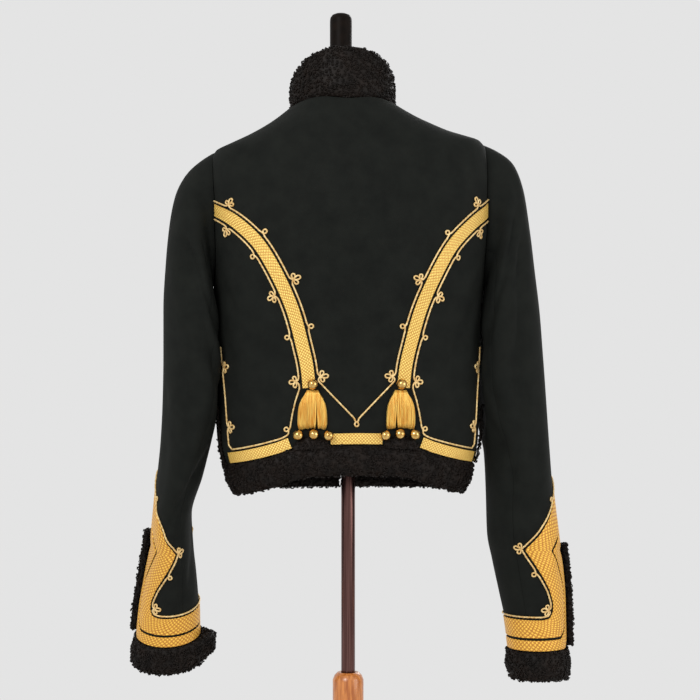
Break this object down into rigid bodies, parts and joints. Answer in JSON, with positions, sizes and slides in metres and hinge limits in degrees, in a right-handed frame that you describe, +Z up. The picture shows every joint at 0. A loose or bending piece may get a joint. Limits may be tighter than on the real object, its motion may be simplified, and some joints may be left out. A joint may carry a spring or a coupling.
{
  "type": "hussar jacket on limbless dress form with stand",
  "caption": "Short black hussar jacket with curly fur collar, hem and cuffs, gold lace and cord, worn by a limbless dress form on a pole and turned wooden stand.",
  "frame": {"origin": "middle of the box's underside, where the round base stands on the floor", "axes": "+Z up, the wearer faces -Y, the wearer's left is +X"},
  "size_m": [0.598, 0.376, 1.575],
  "materials": {
    "wool": "black fulled wool cloth",
    "fur": "black curly lamb fur",
    "gold_lace": "woven gold lace and gold threads",
    "cord": "pale gold braided cord",
    "gilt_button": "polished gilt",
    "turned_wood": "orange-brown varnish",
    "pole_steel": "dull polish",
    "lacquer": "black gloss lacquer",
    "form_cover": "plain dark cotton"
  },
  "bodies": {
    "root": {"back_lace_left": "gold_lace", "back_lace_right": "gold_lace", "back_panel": "wool", "button_front_1": "gilt_button", "button_front_2": "gilt_button", "button_front_3": "gilt_button", "button_front_4": "gilt_button", "button_front_5": "gilt_button", "button_hip_left_1": "gilt_button", "button_hip_left_2": "gilt_button", "button_hip_left_3": "gilt_button", "button_hip_left_4": "gilt_button", "button_hip_right_1": "gilt_button", "button_hip_right_2": "gilt_button", "button_hip_right_3": "gilt_button", "button_hip_right_4": "gilt_button", "collar": "fur", "cord_back_inner": "cord", "cord_back_outer_left": "cord", "cord_back_outer_right": "cord", "cuff_lace_lower_left": "gold_lace", "cuff_lace_lower_right": "gold_lace", "cuff_lace_upper_left": "gold_lace", "cuff_lace_upper_right": "gold_lace", "form_torso": "form_cover", "front_left": "wool", "front_right": "wool", "fur_cuff_left": "fur", "fur_cuff_right": "fur", "fur_front_left": "fur", "fur_front_right": "fur", "fur_hem_back": "fur", "fur_hem_front_left": "fur", "fur_hem_front_right": "fur", "fur_slit_left": "fur", "fur_slit_right": "fur", "fur_strip_left": "fur", "fur_strip_right": "fur", "hem_lace_flank_left": "gold_lace", "hem_lace_flank_right": "gold_lace", "hem_lace_front_left": "gold_lace", "hem_lace_front_right": "gold_lace", "hem_lace_middle": "gold_lace", "neck_finial": "lacquer", "side_back_left": "wool", "side_back_right": "wool", "stand_base": "turned_wood", "stand_column": "turned_wood", "stand_pole": "pole_steel", "top_sleeve_left": "wool", "top_sleeve_right": "wool", "tuft_left": "gold_lace", "tuft_right": "gold_lace", "under_sleeve_left": "wool", "under_sleeve_right": "wool"}
  },
  "joints": []
}
